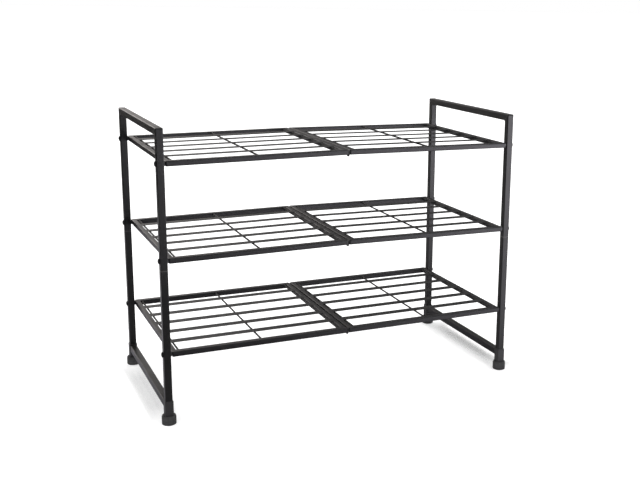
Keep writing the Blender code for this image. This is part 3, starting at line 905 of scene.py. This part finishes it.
def floor_sheen(n):
    """How bright glossy paint sees the floor, as a painted reflection: a patch behind the rack, dimmed under
    it as painted shade, and a glare at its front right.
    """
    place = n.split(n.place)
    away = n.vectors("DISTANCE", n.place, SHEEN_CENTRE)
    patch = n.remap(away["Value"], *SHEEN_REACH, FLOOR_SHEEN, 0.0)
    patch = n.maths("MULTIPLY", patch, n.remap(place["X"], *UNDER_RACK, 1.0, UNDER_RACK_SHADE))
    glare = n.remap(place["X"], *GLARE_ACROSS, 0.0, FLOOR_GLARE)
    in_front = n.remap(place["Y"], *GLARE_DEPTH, 1.0, 0.0)
    return n.maths("ADD", patch, n.maths("MULTIPLY", glare, in_front))


def floor_painted_shade(n):
    """Painted shade under the crossbars: how open the floor is, from 0 close under a crossbar to 1, and the
    floor's painted shade colour where it is 0.
    """
    place = n.split(n.place)
    lean = n.remap(place["X"], *SHADE_ACROSS, *SHADE_LEAN)
    towards = n.vectors("NORMALIZE", n.add("ShaderNodeCombineXYZ", X=lean, Z=1.0).outputs[0])
    sky = n.add("ShaderNodeAmbientOcclusion", Distance=CONTACT_REACH, Normal=towards["Vector"])
    near_foot = n.remap(n.maths("ABSOLUTE", place["Y"]), *FOOT_FADE, 0.0, FOOT_OPEN)
    open_share = n.maths("MAXIMUM", n.remap(sky.outputs["AO"], *CONTACT_RANGE), near_foot)
    return open_share, n.mix(n.remap(place["X"], *SHADE_ACROSS), SHADE_LEFT, SHADE_RIGHT)


def floor():
    """A pale, evenly glowing floor with painted shade under the crossbars. Glossy paint sees it by
    floor_sheen instead, a painted reflection, so that the paint stays dark.
    """
    n = Nodes("floor_paper")
    mottle = n.noise(0.5, 2.0, 0.5)
    tone = n.mix(mottle, (0.88, 0.88, 0.88), (0.90, 0.90, 0.90))
    open_share, shade = floor_painted_shade(n)
    # Painted shade: the floor's colour and its glow darken close under the crossbars.
    tone = n.mix(open_share, shade, tone)
    glow = n.maths("MULTIPLY", open_share, FLOOR_GLOW)
    material = n.finish(
        Base_Color=tone, Roughness=0.9, Emission_Color=(1.0, 1.0, 1.0), Emission_Strength=glow
    )
    # Glossy rays see this painted reflection instead of the floor's own colour.
    in_paint = n.add("ShaderNodeEmission", Color=GLARE_TINT, Strength=floor_sheen(n))
    by_ray = n.add("ShaderNodeMixShader")
    n.set(by_ray.inputs[0], n.add("ShaderNodeLightPath").outputs["Is Glossy Ray"])
    n.set(by_ray.inputs[1], n.shader.outputs[0])
    n.set(by_ray.inputs[2], in_paint.outputs[0])
    n.set(n.tree.nodes["Material Output"].inputs["Surface"], by_ray.outputs[0])
    bm = bmesh.new()
    bmesh.ops.create_grid(bm, x_segments=1, y_segments=1, size=FLOOR_SIZE)
    mesh = mesh_from(bm)
    mesh.materials.append(material)
    obj = bpy.data.objects.new("floor", mesh)
    obj.location.z = -FLOOR_DROP
    bpy.context.scene.collection.objects.link(obj)


def direction(azimuth, elevation):
    """A unit vector, where azimuth 0 points to +Y and 90 to +X."""
    azimuth, elevation = math.radians(azimuth), math.radians(elevation)
    level = math.cos(elevation)
    return Vector((math.sin(azimuth) * level, math.cos(azimuth) * level, math.sin(elevation)))


# Soft lights of the studio as glossy paint sees them: where each is (azimuth and elevation), how tight,
# how bright, and its colour.
STUDIO_BASE = 0.12
STUDIO_LIGHTS = (
    (-10, 7, 20, 3.8, (1.06, 1.00, 0.97)),
    (80, 35, 20, 4.0, (1.00, 0.98, 1.03)),
)

# How bright the studio's white walls are for matt surfaces.
STUDIO_WALLS = 1.35


class WorldNodes(Nodes):
    """The same short way to write the world's nodes."""

    def __init__(self, world):
        world.use_nodes = True
        self.tree = world.node_tree


def studio():
    """White surroundings for the eye and for matt surfaces, and soft boxes for glossy ones."""
    world = bpy.data.worlds.new("studio")
    bpy.context.scene.world = world
    world.cycles.sampling_method = "NONE"
    n = WorldNodes(world)
    ray = n.add("ShaderNodeTexCoord").outputs["Generated"]
    in_paint = (STUDIO_BASE,) * 3
    for azimuth, elevation, tightness, strength, tint in STUDIO_LIGHTS:
        facing = n.vectors("DOT_PRODUCT", ray, direction(azimuth, elevation))["Value"]
        falloff = n.maths("POWER", n.maths("MAXIMUM", facing, 0.0), tightness)
        glow = n.add("ShaderNodeVectorMath", {"operation": "SCALE"}, Scale=falloff)
        n.set(glow.inputs[0], scaled(tint, strength))
        in_paint = n.vectors("ADD", glow.outputs["Vector"], in_paint)["Vector"]
    path = n.add("ShaderNodeLightPath").outputs
    for_matt = n.mix(path["Is Camera Ray"], (STUDIO_WALLS,) * 3, (1.0, 1.0, 1.0))
    n.set(n.tree.nodes["Background"].inputs["Color"], n.mix(path["Is Glossy Ray"], for_matt, in_paint))


# The key light: a wide sun from the right. It casts no shadow, since the floor's painted shade stands for
# it.
KEY_AZIMUTH = 75
KEY_ELEVATION = 55
KEY_STRENGTH = 0.35
KEY_SPREAD = 30


def key_light():
    light = bpy.data.lights.new("key_light", "SUN")
    light.energy = KEY_STRENGTH
    light.angle = math.radians(KEY_SPREAD)
    light.use_shadow = False
    obj = bpy.data.objects.new("key_light", light)
    obj.rotation_mode = "QUATERNION"
    obj.rotation_quaternion = direction(KEY_AZIMUTH, KEY_ELEVATION).to_track_quat("Z", "Y")
    bpy.context.scene.collection.objects.link(obj)


# The camera of the photograph's view: where it stands, where it looks and its lens.
CAMERA_PLACE = (-0.7293, -1.9081, 0.7858)
CAMERA_YAW = 26.190
CAMERA_PITCH = 12.805
CAMERA_ROLL = 1.097
CAMERA_LENS = 55.31
CAMERA_SHIFT = (-0.1327, -0.0258)


def camera():
    data = bpy.data.cameras.new("camera")
    data.lens = CAMERA_LENS
    data.shift_x, data.shift_y = CAMERA_SHIFT
    data.clip_start = 0.05
    data.clip_end = 200.0
    obj = bpy.data.objects.new("camera", data)
    forward = direction(CAMERA_YAW, -CAMERA_PITCH)
    roll = Matrix.Rotation(math.radians(-CAMERA_ROLL), 3, forward)
    right = forward.cross(Vector((0, 0, 1))).normalized()
    up = right.cross(forward)
    right, up = roll @ right, roll @ up
    turn = Matrix((right, up, -forward)).transposed()
    obj.matrix_world = Matrix.Translation(CAMERA_PLACE) @ turn.to_4x4()
    bpy.context.scene.collection.objects.link(obj)
    bpy.context.scene.camera = obj


# Powder coats: the colour, the colour where it is rubbed, the roughness and the orange peel's depth.
POWDER_COATS = {
    "frame_paint": ((0.0064, 0.0061, 0.0064), (0.030, 0.028, 0.027), 0.38, 0.00003),
    # The sleeves' coat is the frame's paint made lighter: painted light bounced from the floor.
    "sleeve_paint_painted_bounce": ((0.0220, 0.0210, 0.0225), (0.045, 0.043, 0.043), 0.42, 0.00003),
    "shelf_paint": ((0.0072, 0.0067, 0.0080), (0.034, 0.032, 0.034), 0.40, 0.00003),
    "slat_paint": ((0.0095, 0.0093, 0.0095), (0.038, 0.037, 0.036), 0.45, 0.00003),
    "wire_paint": ((0.0040, 0.0038, 0.0040), (0.020, 0.019, 0.018), 0.62, 0.00003),
    # The joint band's coat: rubbed paint, made light enough to be also a painted highlight along the joint.
    "rubbed_and_highlight_paint": ((0.060, 0.056, 0.054), (0.120, 0.115, 0.110), 0.34, 0.00002),
}

# Plastics and rubber: the colour, the roughness, and the size and depth of the moulded grain.
PLASTICS = {
    "foot_rubber": ((0.030, 0.030, 0.0305), 0.62, 0.0006, 0.00003),
    "washer_plastic": ((0.030, 0.030, 0.033), 0.45, 0.0004, 0.00001),
    "clip_plastic": ((0.010, 0.010, 0.010), 0.50, 0.0004, 0.00001),
}

# Metals: the colour and the roughness.
WELD_METAL = ((0.010, 0.0095, 0.010), 0.36)
BOLT_STEEL = ((0.010, 0.010, 0.011), 0.36)


def main():
    paint = {name: powder_coat(name, *look) for name, look in POWDER_COATS.items()}
    plastic = {name: moulded_plastic(name, *look) for name, look in PLASTICS.items()}
    weld = weld_metal("weld_paint", *WELD_METAL)
    steel = black_oxide("bolt_black", *BOLT_STEEL)
    for side_name, side in SIDES.items():
        side_frame(side_name, paint["frame_paint"])
        side_frame_seams(side_name, side, weld)
        base_frame(side_name, side, paint["frame_paint"], paint["sleeve_paint_painted_bounce"], weld)
        for end_name in ENDS:
            lower_post(side_name, end_name, paint["frame_paint"])
            joint_ring(side_name, end_name, paint["rubbed_and_highlight_paint"])
            foot(side_name, end_name, plastic["foot_rubber"])
    for i, tier in enumerate(TIERS):
        for side_name, side in SIDES.items():
            shelf = Shelf(tier, side_name, side)
            shelf_rails(shelf, paint["shelf_paint"])
            shelf_slats(shelf, paint["slat_paint"])
            shelf_wires(shelf, paint["wire_paint"])
            shelf_welds(shelf, weld, 20 * i + 7 * side)
            for end_name in ENDS:
                bolt(tier, side_name, side, end_name, steel)
                washer(tier, side_name, end_name, plastic["washer_plastic"])
        for end_name in ENDS:
            centre_clip(tier, end_name, plastic["clip_plastic"])
    floor()
    studio()
    key_light()
    camera()
    bpy.context.scene.view_settings.view_transform = "Standard"


main()
bpy.context.view_layer.update()
